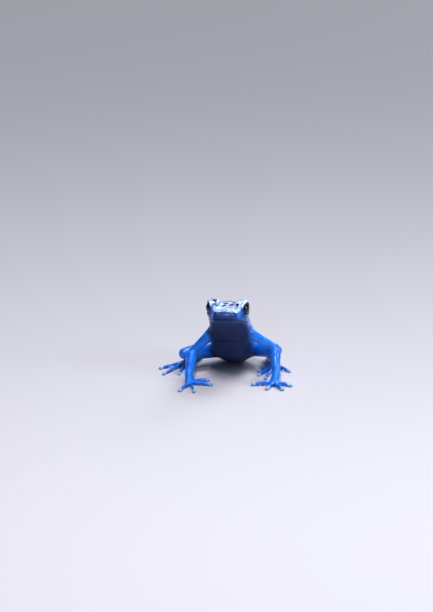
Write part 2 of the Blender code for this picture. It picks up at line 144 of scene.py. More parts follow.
# A finger's or toe's thickness from its root to its disc, as shares of its radius, the rise
# of its arch, and its two pads: how far along each sits and its size.
DIGIT_SWELLS = (2.0, 1.5, 1.08, 1.2, 0.88, 0.95, 1.04, 0.8, 0.72)
DIGIT_ARCH = 0.3
DIGIT_PADS = ((0.42, 1.0), (0.74, 0.86))
# The palm's swellings: how far from wrist to knuckles each sits, and its three radii.
PALM_BALLS = ((0.15, 1.3, 1.4, 1.25), (0.5, 1.5, 1.6, 1.0), (0.9, 1.8, 1.5, 0.8))

# The clay's grid, in frog millimetres: its step at the head and elsewhere, where the head's
# fine step runs along each axis, how fast the step grows from there, the spare room round
# the part's box, the room round a shape for its melted joint, and the distance that stands
# for far away.
FINE, COARSE = ((0.11, 0.18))
HEAD_SPANS = ((-7.6, 7.6), (-15.4, -2.6), (20.0, 29.6))
STEP_GROWTH = 0.06
BOX_ROOM, MELT_ROOM = 1.2, 2.0
FAR = 4.0

# Evening out the skin: each round smooths by the first share and sharpens by the second. The
# rounds are those before the skin settles on the clay, those after it, those of the plain
# stretches and those that blunt the snout's tip.
SMOOTH, SHARPEN = 0.5, -0.52
ROUNDS_BEFORE, ROUNDS_AFTER, ROUNDS_PLAIN, ROUNDS_SNOUT = 2, 3, 14, 25

# Where the frame puts frog millimetre (0, 0, 0), from the left eyeball's box.
eye_low, eye_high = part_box("left_eye")
SHIFT = np.array((eye_low + eye_high) / 2) / MM - EYE_PLACE


def mirrored(point, side):
    """The place on the named side of a point given for the left."""
    return np.array(point) * (1.0 if side == "left" else -1.0, 1.0, 1.0)


def unit(vector):
    """The vector at length 1."""
    return np.asarray(vector, float) / np.linalg.norm(vector)


def along(rows, t):
    """The values at t, a number or an array, on a smooth curve through every row."""
    rows = np.asarray(rows, float)
    last = len(rows) - 1
    t = np.clip(np.asarray(t, float), 0, last)
    i = np.minimum(t.astype(int), last - 1)
    f = (t - i)[..., None]
    p, q, r, s = (rows[np.clip(i + k, 0, last)] for k in (-1, 0, 1, 2))
    return q + 0.5 * f * (r - p + f * (2 * p - 5 * q + 4 * r - s + f * (3 * (q - r) + s - p)))


def fade(value, start, end):
    """Runs smoothly from 0 at start to 1 at end."""
    share = np.clip((value - start) / (end - start), 0.0, 1.0)
    return share * share * (3 - 2 * share)


def melt(a, b, fillet):
    """The smaller of two distances, with the corner between them filled."""
    near = np.maximum(fillet - np.abs(a - b), 0.0) / fillet
    return np.minimum(a, b) - near * near * fillet * 0.25


def above_mouth(y, z):
    """How far a place lies above the mouth's line."""
    line = np.array(MOUTH_LINE)
    return z - np.interp(y, line[:, 0], line[:, 1])


def joints(limb):
    """A limb's named joints, from its root to its fingers or toes."""
    return [np.array(place) for name, place in limb.items() if name != "tips"]


def path_distance(x, y, z, path, radii):
    """Distance to a round limb that follows the points of a path, tapering without steps."""
    nearest = FAR
    for a, b, r, s in zip(path, path[1:], radii, radii[1:]):
        run = b - a
        length = math.sqrt(run @ run)
        dx, dy, dz = x - a[0], y - a[1], z - a[2]
        ahead = (dx * run[0] + dy * run[1] + dz * run[2]) / length
        aside = np.sqrt(np.maximum(dx**2 + dy**2 + dz**2 - ahead**2, 0.0))
        taper = min(max((r - s) / length, -0.9), 0.9)
        foot = np.clip(ahead - aside * taper / math.sqrt(1 - taper**2), 0.0, length)
        nearest = np.minimum(nearest, np.hypot(ahead - foot, aside) - r - foot / length * (s - r))
    return nearest


def limb_path(corners, radii, count=12):
    """The points and radii of a limb, on smooth curves through those given."""
    share = np.linspace(0.0, 1.0, count)
    points = along(corners, share * (len(corners) - 1))
    sizes = along(np.array(radii)[:, None], share * (len(radii) - 1))[:, 0]
    return points, sizes


class Trunk:
    """The head and body without limbs, brows or lids."""

    SAMPLES = 481
    CAP_DEPTH = 0.3

    def __init__(self, y, z):
        """Finds, for each place of the middle plane, the slanted section that holds it."""
        self.y, self.z = y, z
        y, z = y[:, None], z[None, :]
        last = len(TRUNK_ROWS) - 1
        stations = np.linspace(0, last, self.SAMPLES)
        nearest = np.full((y.size, z.size), np.inf)
        station = np.zeros_like(nearest)
        for t in stations:
            back_y, back_z, belly_y, belly_z = along(TRUNK_ROWS, t)[:4]
            run_y, run_z = back_y - belly_y, back_z - belly_z
            share = ((y - belly_y) * run_y + (z - belly_z) * run_z) / (run_y**2 + run_z**2)
            share = np.clip(share, 0.0, 1.0)
            gap = (y - belly_y - share * run_y) ** 2 + (z - belly_z - share * run_z) ** 2
            station = np.where(gap < nearest, t, station)
            nearest = np.minimum(gap, nearest)
        step = stations[1]
        before = self.behind(y, z, station - step)
        after = self.behind(y, z, station + step)
        change = before - after
        change = np.where(np.abs(change) < 1e-6, 1e-6, change)
        station += step * np.clip((before + after) / change, -2.0, 2.0)
        self.station = np.clip(station, 0, last)
        behind = self.behind(y, z, self.station)
        at_snout = self.station <= 0
        at_vent = self.station >= last
        beyond = np.where(at_snout, -behind, np.where(at_vent, behind, 0.0)).clip(0.0)

        back_y, back_z, belly_y, belly_z, width, mid, upper, lower = np.moveaxis(
            along(TRUNK_ROWS, self.station), -1, 0
        )
        height = np.hypot(back_y - belly_y, back_z - belly_z)
        axis_y, axis_z = (back_y - belly_y) / height, (back_z - belly_z) / height
        self.rise = (y - belly_y) * axis_y + (z - belly_z) * axis_z - mid * height
        self.reach = np.where(self.rise >= 0, (1 - mid) * height, mid * height)
        square = np.where(self.rise >= 0, upper, lower)
        self.tables = (width, self.rise, self.reach, square, beyond)

    @staticmethod
    def behind(y, z, station):
        """How far a place lies behind the plane of a section."""
        back_y, back_z, belly_y, belly_z = np.moveaxis(along(TRUNK_ROWS, station)[..., :4], -1, 0)
        run_y, run_z = back_y - belly_y, back_z - belly_z
        return ((y - belly_y) * run_z - (z - belly_z) * run_y) / np.hypot(run_y, run_z)

    def look_up(self, table, y, z):
        """A table's values at single places."""
        row, column = to_index(self.y, y), to_index(self.z, z)
        i, j = row.astype(int), column.astype(int)
        f, g = row - i, column - j
        return (
            (table[i, j] * (1 - g) + table[i, j + 1] * g) * (1 - f)
            + (table[i + 1, j] * (1 - g) + table[i + 1, j + 1] * g) * f
        )

    def distance(self, x, width, rise, reach, square, beyond):
        """Distance to the trunk's surface, in terms of its section's own sizes."""
        ratio = (np.abs(x) / width) ** square + (np.abs(rise) / reach) ** square
        gauge = np.maximum(ratio, 1e-9) ** (1 / square)
        radius = np.where(
            gauge < 0.05, np.minimum(width, reach), np.hypot(x, rise) / np.maximum(gauge, 0.05)
        )
        return (np.sqrt(gauge**2 + (beyond / self.CAP_DEPTH) ** 2) - 1) * radius

    def at(self, x, y, z):
        """The trunk's distance at single places."""
        return self.distance(x, *(self.look_up(table, y, z) for table in self.tables))


def grid_line(low, high, fine_low, fine_high):
    """Places along one axis, close together between two limits and wider apart beyond them."""
    line = [low]
    while line[-1] < high:
        outside = max(fine_low - line[-1], line[-1] - fine_high, 0.0)
        line.append(line[-1] + min(COARSE, FINE + STEP_GROWTH * outside))
    return np.array(line)


def to_index(line, values):
    """Where values lie along a grid line, as shares of its steps."""
    return np.interp(values, line, np.arange(len(line))).clip(0, len(line) - 1.001)


class Clay:
    """Flesh as a grid of distances to its surface, negative inside."""

    def __init__(self, low, high):
        self.lines = [grid_line(a, b, *span) for a, b, span in zip(low, high, HEAD_SPANS)]
        self.depth = np.full([len(line) for line in self.lines], FAR, np.float32)

    def room(self, low, high):
        """The part of the grid between two corners, and its coordinates."""
        cut = tuple(
            slice(*np.searchsorted(line, (a, b))) for line, a, b in zip(self.lines, low, high)
        )
        x, y, z = (line[part].astype(np.float32) for line, part in zip(self.lines, cut))
        return cut, x[:, None, None], y[None, :, None], z[None, None, :]

    def add_trunk(self, trunk):
        """Adds the head and body."""
        wide = TRUNK_ROWS[:, 4].max() + FAR
        cut, x, _, _ = self.room((-wide, -np.inf, -np.inf), (wide, np.inf, np.inf))
        tables = [table[None].astype(np.float32) for table in trunk.tables]
        gauge = trunk.distance(x, *tables)
        steepness = np.sqrt(sum(g**2 for g in np.gradient(gauge, x.ravel(), trunk.y, trunk.z)))
        self.depth[cut] = np.minimum(FAR, gauge / np.clip(steepness, 0.8, 6.0))

    def add(self, places, reach, distance, fillet):
        """Melts in a shape, given as a function of x, y and z, round the places it spans."""
        spare = reach + MELT_ROOM
        cut, x, y, z = self.room(np.min(places, 0) - spare, np.max(places, 0) + spare)
        shape = distance(x, y, z)
        width = fillet(x, y, z) if callable(fillet) else fillet
        self.depth[cut] = melt(self.depth[cut], shape, width)

    def cut(self, centre, reach, distance, round_off):
        """Takes a shape away."""
        cut, x, y, z = self.room(np.subtract(centre, reach), np.add(centre, reach))
        self.depth[cut] = -melt(-self.depth[cut], distance(x, y, z), round_off)

    def add_limb(self, corners, radii, fillet, root_fillet=0.0, root_length=3.0, count=12):
        """Melts in a limb, more softly near its root."""
        points, sizes = limb_path(corners, radii, count)
        root = points[0]

        def softness(x, y, z):
            away = np.sqrt((x - root[0]) ** 2 + (y - root[1]) ** 2 + (z - root[2]) ** 2)
            return fillet + root_fillet * (1 - fade(away, sizes[0] + 1.0, sizes[0] + root_length))

        self.add(
            points,
            max(sizes),
            lambda x, y, z: path_distance(x, y, z, points, sizes),
            softness if root_fillet else fillet,
        )

    def add_ball(self, centre, radii, fillet, heading=(0.0, 1.0), square=2.0):
        """Melts in a round or flattened ball, its second radius along a level heading."""

        def distance(x, y, z):
            return ball_distance(x, y, z, centre, radii, heading, square)

        self.add([centre], max(radii), distance, fillet)

    def sample(self, points):
        """The distance at single places."""
        scaled = np.stack([to_index(line, points[:, k]) for k, line in enumerate(self.lines)], 1)
        i = scaled.astype(int)
        f = scaled - i
        total = np.zeros(len(points))
        for corner in np.ndindex(2, 2, 2):
            share = np.prod(np.where(corner, f, 1 - f), axis=1)
            total += share * self.depth[tuple((i + corner).T)]
        return total

    def slope(self, points):
        """The direction in which the distance grows at single places, and how fast."""
        reach = 0.6 * COARSE
        growth = [
            self.sample(points + step) - self.sample(points - step) for step in np.eye(3) * reach
        ]
        return np.stack(growth, 1) / (2 * reach)

    def skin(self):
        """The surface as points and four-sided faces, one point to each cell it crosses."""
        inside = self.depth < 0
        shape = np.array(self.depth.shape)
        strides = np.array((shape[1] * shape[2], shape[2], 1))
        steps = np.eye(3, dtype=int)
        crossings, quads = [], []
        for axis in range(3):
            here = [slice(None)] * 3
            there = [slice(None)] * 3
            here[axis], there[axis] = slice(None, -1), slice(1, None)
            hit = np.argwhere(inside[tuple(here)] != inside[tuple(there)])
            step, one, two = (steps[(axis + k) % 3] for k in range(3))
            a = self.depth[tuple(hit.T)]
            b = self.depth[tuple((hit + step).T)]
            place = hit + step * (a / (a - b))[:, None]
            place = np.stack(
                [np.interp(place[:, k], np.arange(shape[k]), self.lines[k]) for k in range(3)], 1
            )
            ring = [hit, hit - one, hit - one - two, hit - two]
            cells = np.stack([corner @ strides for corner in ring], 1)
            crossings.append((cells, place))
            outwards = a < 0
            quads.append(np.where(outwards[:, None], cells, cells[:, ::-1]))
        cells = np.concatenate([c.ravel() for c, _ in crossings])
        places = np.concatenate([np.repeat(p, 4, axis=0) for _, p in crossings])
        names, index = np.unique(cells, return_inverse=True)
        count = np.bincount(index)
        points = np.stack([np.bincount(index, places[:, k]) / count for k in range(3)], 1)
        faces = np.searchsorted(names, np.concatenate(quads))
        return points, faces


def ball_distance(x, y, z, centre, radii, heading=(0.0, 1.0), square=2.0):
    """Distance to a ball stretched to three radii, its cross-section rounder or squarer."""
    length = math.hypot(*heading)
    ahead_x, ahead_y = heading[0] / length, heading[1] / length
    dx, dy, dz = x - centre[0], y - centre[1], z - centre[2]
    aside = dx * ahead_y - dy * ahead_x
    ahead = dx * ahead_x + dy * ahead_y
    terms = [np.abs(d) / r for d, r in zip((aside, ahead, dz), radii)]
    section = (terms[0] ** square + terms[2] ** square) ** (2 / square)
    gauge = np.sqrt(section + terms[1] ** 2)
    steep = np.sqrt(sum((term / r) ** 2 for term, r in zip(terms, radii)))
    return gauge * (gauge - 1) / np.maximum(steep, 1e-3)


def eye_axes(side):
    """The level, the upright and the outward direction of an eye."""
    looks = unit(mirrored(EYE_LOOKS, side))
    level = unit(np.cross(looks, (0.0, 0.0, 1.0)))
    return level, np.cross(level, looks), looks


def in_opening(side, x, y, z):
    """How far out from the eye's centre a place is, and its share of the way to the lids' edge."""
    centre = mirrored(EYE_PLACE, side)
    dx, dy, dz = x - centre[0], y - centre[1], z - centre[2]
    across, up, out = (dx * v[0] + dy * v[1] + dz * v[2] for v in eye_axes(side))
    flare = 1 + 0.28 * np.maximum(out - 1.2, 0.0)
    return out, np.hypot(across / LID_OPENING[0], (up + LID_LOW) / LID_OPENING[1]) / flare


def shape_eye(clay, side):
    """The brow, the lids round the eye and the room for the eyeball."""
    centre = mirrored(EYE_PLACE, side)

    def from_centre(x, y, z):
        return np.sqrt((x - centre[0]) ** 2 + (y - centre[1]) ** 2 + (z - centre[2]) ** 2)

    def opening(x, y, z):
        out, share = in_opening(side, x, y, z)
        return np.maximum((share - 1) * LID_OPENING[1], 0.6 - out)

    lid = EYE_RADIUS + LID_THICKNESS
    clay.add_ball(mirrored(BROW_PLACE, side), BROW_RADII, 1.5, square=BROW_SQUARE)
    clay.add([centre], lid, lambda x, y, z: from_centre(x, y, z) - lid, 0.6)
    clay.cut(centre, 4.2, opening, 0.3)
    clay.cut(centre, 3.2, lambda x, y, z: from_centre(x, y, z) - EYE_RADIUS - 0.03, 0.05)


def shape_snout(clay):
    """The nostrils, each a pit in a low mound; gives back the pits' places."""
    pits = []
    for sign in (1.0, -1.0):
        mound = np.array(NOSTRIL_PLACE) * (sign, 1.0, 1.0)
        clay.add([mound], 0.6, lambda x, y, z: ball_distance(x, y, z, mound, (0.5,) * 3), 0.9)
        slope = clay.slope(mound[None])[0]
        pit = mound - unit(slope) * (clay.sample(mound[None])[0] + 0.1)
        clay.cut(pit, 1.4, lambda x, y, z: ball_distance(x, y, z, pit, (0.34, 0.46, 0.36)), 0.14)
        pits.append(pit)
    return pits


class Relief:
    """Fine folds and ridges: how far each point rises along its normal, and the painted shade of
    its creases.
    """

    def __init__(self, points, normals):
        self.points, self.normals = points, normals
        self.height = np.zeros(len(points))
        self.shaded_crease = np.zeros(len(points))

    def near(self, low, high):
        """The points inside a box."""
        return np.flatnonzero(((self.points > low) & (self.points < high)).all(1))

    def press(self, corners, width, height, count=14):
        """Raises a soft ridge along a path, or presses in a furrow where height is negative, a
        narrow one with painted shade.
        """
        path = along(corners, np.linspace(0, len(corners) - 1, count))
        index = self.near(path.min(0) - 3 * width, path.max(0) + 3 * width)
        away = path_distance(*self.points[index].T, path, np.zeros(count))
        rise = height * np.exp(-((away / width) ** 2))
        self.height[index] += rise
        if height < 0 and width < 0.5:
            self.shaded_crease[index] += -rise / 0.4

    def body(self):
        """Folds and ridges of the neck, back, flanks, snout and breast, with painted shade in the
        narrow folds.
        """
        for sign in (1.0, -1.0):
            side = (sign, 1.0, 1.0)
            neck = ((6.3, -4.0, 26.6), (6.75, -2.2, 24.6), (6.7, -0.4, 21.6), (6.4, 0.0, 18.8))
            self.press(np.multiply(neck, side), 0.5, 0.14)
            hip_bone = ((2.3, 6.8, 23.0), (2.1, 11.5, 18.9), (1.6, 16.2, 13.4), (0.9, 19.6, 8.4))
            self.press(np.multiply(hip_bone, side), 0.8, 0.2)
            flank = np.array([(6.4, 2.6, 14.6), (7.0, 5.0, 12.6), (7.3, 7.2, 9.8)])
            for step in (0.0, 1.3, 2.7):
                self.press((flank + (0.0, step, -0.8 * step)) * side, 0.28, -0.09)
            snout_ridge = ((4.3, -9.6, 27.3), (3.8, -11.2, 26.7), (3.4, -12.6, 26.3))
            self.press(np.multiply(snout_ridge, side), 0.8, 0.14)
            snout_hollow = ((5.2, -10.0, 24.9), (4.3, -12.2, 24.8))
            self.press(np.multiply(snout_hollow, side), 0.9, -0.18)
        half = ((5.4, -1.6, 14.6), (3.6, -3.6, 13.7))
        breast = [(-x, y, z) for x, y, z in half] + [(0.0, -4.5, 13.3)] + list(half[::-1])
        self.press(breast, 0.45, -0.3)
        self.press([(x, y - 0.5, z + 1.1) for x, y, z in breast], 0.4, 0.06)

    def mouth(self):
        """The closed mouth's line, with a lip above and below it, and painted shade along its
        groove.
        """
        index = self.near((-9, -17, 16), (9, -2.6, 27))
        _, y, z = self.points[index].T
        height = above_mouth(y, z)
        corner = 1 - fade(y, *MOUTH_CORNER)
        groove = 0.34 * np.exp(-((height / 0.16) ** 2))
        upper_lip = 0.11 * np.exp(-(((height - 0.5) / 0.28) ** 2))
        lower_lip = 0.08 * np.exp(-(((height + 0.5) / 0.28) ** 2))
        chin = 0.14 * fade(-height, 0.0, 0.2) * (1 - fade(-height, 1.6, 3.2))
        self.height[index] += (upper_lip + lower_lip - groove - chin) * corner
        self.shaded_crease[index] += 0.8 * np.exp(-((height / 0.1) ** 2)) * corner

    def nostrils(self, pits):
        """Painted shade inside the nostrils' pits."""
        for pit in pits:
            away = np.linalg.norm(self.points - pit, axis=1)
            self.shaded_crease += 0.9 * (1 - fade(away, 0.4, 0.56))

    def lids(self, side):
        """The lids' raised rims, the furrow round them, and painted shade on the skin next to the
        eyeball.
        """
        centre = mirrored(EYE_PLACE, side)
        index = self.near(centre - 4, centre + 4)
        out, share = in_opening(side, *self.points[index].T)
        low = 1 - fade(self.points[index, 2] - centre[2], -0.6, 1.4)
        near_ball = fade(out, 0.2, 1.0) * fade(share, 0.98, 1.06) * (0.25 + 0.75 * low)
        rim = 0.06 * np.exp(-(((share - 1.14) / 0.08) ** 2))
        furrow = 0.10 * np.exp(-(((share - 1.4) / 0.13) ** 2))
        self.height[index] += (rim - furrow) * near_ball
        away = np.linalg.norm(self.points[index] - centre, axis=1) - EYE_RADIUS
        self.shaded_crease[index] += 0.9 * (1 - fade(away, 0.1, 0.35))

    def eardrum(self, side):
        """A shallow round drum with a raised rim, behind and below the eye."""
        centre = mirrored(EARDRUM_PLACE, side)
        index = self.near(centre - 2.2, centre + 2.2)
        away = np.linalg.norm(self.points[index] - centre, axis=1)
        rim = 0.09 * np.exp(-(((away - EARDRUM_RADIUS) / 0.16) ** 2))
        dip = 0.08 * (1 - fade(away, 0.65 * EARDRUM_RADIUS, 0.95 * EARDRUM_RADIUS))
        self.height[index] += rim - dip

    def limbs(self):
        """Creases inside the elbows and wrists, with painted shade in them."""
        for places in ARMS.values():
            shoulder, elbow, wrist, knuckles = joints(places)
            bends = ((shoulder, elbow, wrist, 1.5), (elbow, wrist, knuckles, 1.1))
            for before, joint, after, size in bends:
                inner = unit((before + after) / 2 - joint)
                across = unit(np.cross(after - joint, before - joint))
                for shift in (-0.35, 0.35):
                    start = joint + inner * size * 0.95 + unit(after - before) * shift
                    shaded_crease = [start - across * 1.1, start + inner * 0.1, start + across * 1.1]
                    self.press(shaded_crease, 0.2, -0.1)

    def grain(self, trunk):
        """Low swellings, so that no stretch is quite smooth, but weak on limbs and lips."""
        x, y, z = self.points.T
        from_lips = np.abs(above_mouth(y, z)) + 3 * fade(y, *MOUTH_CORNER)
        on_trunk = 1 - 0.85 * fade(trunk.at(x, y, z), *OFF_TRUNK)
        weight = on_trunk * (0.2 + 0.8 * fade(from_lips, 0.4, 1.6))
        for size, height in ((1.7, 0.035), (0.7, 0.016)):
            swell = np.array([noise.noise(place / size) for place in map(Vector, self.points)])
            self.height += height * weight * swell

    def applied(self):
        """The points after their rise."""
        return self.points + self.normals * self.height[:, None]


def shape_digit(clay, root, start, tip, radius, disc):
    """A finger or toe: a jointed length on small pads, and a disc with two plates on top."""
    end = np.array((*tip, disc[2] - 0.05))
    run = end - start
    flat = unit((run[0], run[1], 0.0))
    aside = np.array((flat[1], -flat[0], 0.0))
    arch = np.array((0.0, 0.0, DIGIT_ARCH))
    bends = [start + run * 0.4 + arch, start + run * 0.75 + arch * 0.5]
    radii = [radius * share for share in DIGIT_SWELLS]
    clay.add_limb([root, start, *bends, end - flat * 0.2], radii, 0.35, count=16)
    for share, size in DIGIT_PADS:
        pad = start + run * share
        pad[2] = radius * 0.62
        clay.add_ball(pad, (radius * size, radius * size * 1.1, radius * 0.75), 0.25, flat[:2])
    clay.add_ball(end, disc, 0.3, flat[:2])
    for sign in (1.0, -1.0):
        plate = end + aside * (sign * disc[0] * 0.4) + flat * 0.1 + (0.0, 0.0, disc[2] * 0.74)
        clay.add_ball(plate, (disc[0] * 0.4, disc[1] * 0.66, 0.2), 0.08, flat[:2])


def shape_arm(clay, side):
    """The upper arm, forearm and hand of one side."""
    shoulder, elbow, wrist, knuckles = joints(ARMS[side])
    clay.add_limb([shoulder, elbow], UPPER_ARM_RADII, 0.35, 1.3, 4.5)
    clay.add_limb([elbow, wrist], FOREARM_RADII, 0.5)
    bend = unit(elbow - (shoulder + wrist) / 2)
    clay.add_ball(elbow + bend * 0.55, (1.05, 1.05, 1.05), 0.6)
    swell = elbow + (wrist - elbow) * 0.3 + bend * 0.35
    clay.add_ball(swell, (1.55, 1.5, 2.2), 0.9)
    palm = knuckles - wrist
    for share, *radii in PALM_BALLS:
        clay.add_ball(wrist + palm * share, radii, 0.7, palm[:2])
    for tip in ARMS[side]["tips"]:
        start = knuckles + (np.array((*tip, knuckles[2])) - knuckles) * 0.2
        shape_digit(clay, wrist, start, tip, FINGER_RADIUS, FINGER_DISC)


def shape_leg(clay, side):
    """The thigh, shank, tarsus and foot of one side."""
    hip, knee, heel, sole = joints(LEGS[side])
    tips = LEGS[side]["tips"]
    clay.add_limb([hip, knee], THIGH_RADII, 0.5, 1.2, 5.0)
    clay.add_limb([knee, heel], SHANK_RADII, 0.3)
    clay.add_limb([heel, sole], TARSUS_RADII, 0.3)
    calf = knee + (heel - knee) * 0.35 + (0.0, 0.0, 0.3)
    clay.add_ball(calf, (1.9, 3.4, 1.9), 0.8, (heel - knee)[:2])
    bend = unit(knee - (hip + heel) / 2)
    clay.add_ball(knee + bend * 0.55, (1.35, 1.35, 1.35), 0.8)
    clay.add_ball(heel + unit(heel - knee) * 0.35, (0.95, 0.95, 0.95), 0.6)
    middle = np.mean([(*tip, sole[2]) for tip in tips], 0)
    clay.add_ball(sole + unit(middle - sole) * 1.0, (1.65, 2.0, 0.85), 0.6, (middle - sole)[:2])
    for tip in tips:
        start = sole + (np.array((*tip, sole[2])) - sole) * 0.1
        shape_digit(clay, sole, start, tip, TOE_RADIUS, TOE_DISC)


def relax(points, faces, rounds, turns=(SMOOTH, SHARPEN)):
    """Evens out the skin without shrinking it, by turns of smoothing and of sharpening.

    A turn is one share for all points, or a column with a share for each.
    """
    ends = np.concatenate([faces[:, (k, (k + 1) % 4)] for k in range(4)])
    a, b = ends.T
    count = np.bincount(a, minlength=len(points)).astype(float)[:, None]
    for _ in range(rounds):
        for amount in turns:
            sums = [np.bincount(a, points[b, k], len(points)) for k in range(3)]
            points = points + amount * (np.stack(sums, 1) / count - points)
    return points


def plain_share(points):
    """1 on the plain stretches of skin, falling to 0 at the eyes, nostrils, hands and feet."""
    share = fade(points[:, 2], 1.8, 2.8)
    for side in ("left", "right"):
        share *= fade(np.linalg.norm(points - mirrored(EYE_PLACE, side), axis=1), 3.0, 4.0)
        share *= fade(np.linalg.norm(points - mirrored(NOSTRIL_PLACE, side), axis=1), 0.8, 1.6)
    return share[:, None]


def settle(clay, points):
    """Moves the points onto the clay's own surface."""
    slope = clay.slope(points)
    steep = np.maximum((slope**2).sum(1), 0.25)
    step = -(clay.sample(points) / steep)[:, None] * slope
    return points + np.clip(step, -0.5 * FINE, 0.5 * FINE)


def frog_clay(trunk, clay):
    """Models all of the frog's flesh, and gives back the nostrils' places."""
    clay.add_trunk(trunk)
    for side in ("left", "right"):
        shape_eye(clay, side)
    pits = shape_snout(clay)
    for side in ("left", "right"):
        shape_leg(clay, side)
        shape_arm(clay, side)
    clay.depth = np.maximum(clay.depth, -clay.lines[2].astype(np.float32))
    return pits


# Dark spots of the head: the place, its width and length in millimetres, and its turn in
# degrees.
HEAD_SPOTS = (
    ((-4.1, -7.8, 28.9), 1.7, 1.5, -20),
    ((-4.1, -9.1, 28.0), 1.5, 0.75, 18),
    ((-3.5, -9.4, 27.5), 1.0, 0.6, 25),
    ((-0.8, -5.4, 27.3), 1.7, 1.3, 0),
    ((-1.0, -7.7, 27.2), 1.25, 1.6, -25),
    ((1.3, -6.8, 27.3), 1.4, 2.4, 0),
    ((2.1, -3.7, 27.2), 1.5, 1.8, 0),
    ((3.5, -9.0, 28.0), 1.3, 1.0, -15),
    ((1.3, -9.1, 27.0), 0.7, 0.7, 0),
    ((-0.6, -1.6, 27.1), 3.2, 1.5, 0),
)
# The bare skin kept round each of them, and the y and z that keep all other spots behind the
# head or below it.
HEAD_SPOT_ROOM = 0.9
HEAD_END, THROAT_TOP = -2.6, 17.0
# The scattered spots: how often one is tried, how far from the skin a try may fall, the share
# kept on the limbs, the lowest one's height, and for the body and the limbs the smallest
# radius, how much it grows and the bare skin kept round a spot.
SPOT_SEED, SPOT_TRIES, TRY_REACH = 11, 9000, 2.0
LIMB_SHARE, LOWEST_SPOT = 0.25, 2.5
BODY_RADIUS, BODY_SPREAD, BODY_ROOM = 0.5, 1.15, 0.55
LIMB_RADIUS, LIMB_SPREAD, LIMB_ROOM = 0.26, 0.3, 1.6
# A spot's uneven outline: the size and the count of the lobes of each of its waves.
OUTLINE_SEED = 5
OUTLINE_WAVES = ((0.16, 2), (0.13, 3), (0.06, 5))


def scattered_spots(clay, trunk, points, taken):
    """Dark spots over the back, flanks and hind legs, kept apart from each other."""
    draw = np.random.default_rng(SPOT_SEED)
    tree = kdtree.KDTree(len(points))
    for index, point in enumerate(points):
        tree.insert(point, index)
    tree.balance()
    low, high = np.array(cad_low) / MM - SHIFT, np.array(cad_high) / MM - SHIFT
    spots = []
    places = [np.array(place) for place in taken]
    sizes = [HEAD_SPOT_ROOM] * len(places)
    for _ in range(SPOT_TRIES):
        place, _, away = tree.find(draw.uniform(low, high))
        size, aspect, turn = draw.uniform(0.0, 1.0), draw.uniform(0.6, 1.0), draw.uniform(0, 180)
        chance = draw.uniform()
        if away > TRY_REACH or place[2] < LOWEST_SPOT:
            continue
        if place[1] < HEAD_END and place[2] > THROAT_TOP:
            continue
        place = np.array(place)
        if trunk.at(*place[:, None])[0] < 0.6:
            if trunk.look_up(trunk.rise, *place[1:, None])[0] < 0.5:
                continue
            radius, bare = BODY_RADIUS + BODY_SPREAD * size**1.5, BODY_ROOM
        else:
            facing = clay.slope(place[None])[0]
            on_arm = place[1] < 1.5
            turned_away = facing[2] < 0.2 or facing[1] < -0.35
            if on_arm or turned_away or chance > LIMB_SHARE:
                continue
            radius, bare = LIMB_RADIUS + LIMB_SPREAD * size, LIMB_ROOM
        room = radius * 1.1 + bare
        gaps = (np.linalg.norm(place - other) - reach for other, reach in zip(places, sizes))
        if min(gaps) < room:
            continue
        places.append(place)
        sizes.append(radius)
        spots.append((place, radius * 2, radius * 2 * aspect, turn))
    return spots


def spot_depth(clay, points, spots):
    """How many millimetres deep each point lies inside a dark spot, and -1 far from any."""
    draw = np.random.default_rng(OUTLINE_SEED)
    deepest = np.full(len(points), -1.0)
    for place, width, length, turn in spots:
        place = points[((points - place) ** 2).sum(1).argmin()]
        normal = unit(clay.slope(place[None])[0])
        waves = draw.uniform(-1.0, 1.0, 4)
        reach = max(width, length)
        near = np.flatnonzero((np.abs(points - place) < reach).all(1))
        away = points[near] - place
        side = unit(np.cross((0.0, 1.0, 0.0), normal) if abs(normal[1]) < 0.9 else (1.0, 0.0, 0.0))
        ahead = np.cross(normal, side)
        angle = math.radians(turn)
        across = away @ (side * math.cos(angle) + ahead * math.sin(angle)) / (width / 2)
        forth = away @ (ahead * math.cos(angle) - side * math.sin(angle)) / (length / 2)
        bearing = np.arctan2(forth, across)
        uneven = 1 + sum(
            size * np.sin(count * bearing + 6 * wave)
            for (size, count), wave in zip(OUTLINE_WAVES, waves)
        )
        depth = (uneven - np.hypot(across, forth)) * min(width, length) / 2
        depth = np.where(np.abs(away @ normal) < reach * 0.8, depth, -1.0)
        deepest[near] = np.maximum(deepest[near], depth)
    return deepest


def hex_colour(code):
    """A linear colour from its sRGB hex code."""
    values = [int(code[k : k + 2], 16) / 255 for k in (1, 3, 5)]
    return (*(v / 12.92 if v <= 0.04045 else ((v + 0.055) / 1.055) ** 2.4 for v in values), 1.0)


def add_node(tree, kind, settings=None, **inputs):
    """Adds a shader node with its settings, and its inputs as values or as other outputs.

    An input goes by its name, or by its number after an i, as in i0.
    """
    node = tree.nodes.new("ShaderNode" + kind)
    for name, value in (settings or {}).items():
        setattr(node, name, value)
    for name, value in inputs.items():
        numbered = name[0] == "i" and name[1:].isdigit()
        socket = node.inputs[int(name[1:]) if numbered else name.replace("_", " ")]
        if isinstance(value, bpy.types.NodeSocket):
            tree.links.new(value, socket)
        else:
            socket.default_value = value
    return node


def new_material(name):
    """An empty material with its output and its shader."""
    material = bpy.data.materials.new(name)
    material.use_nodes = True
    tree = material.node_tree
    return material, tree, tree.nodes["Principled BSDF"]


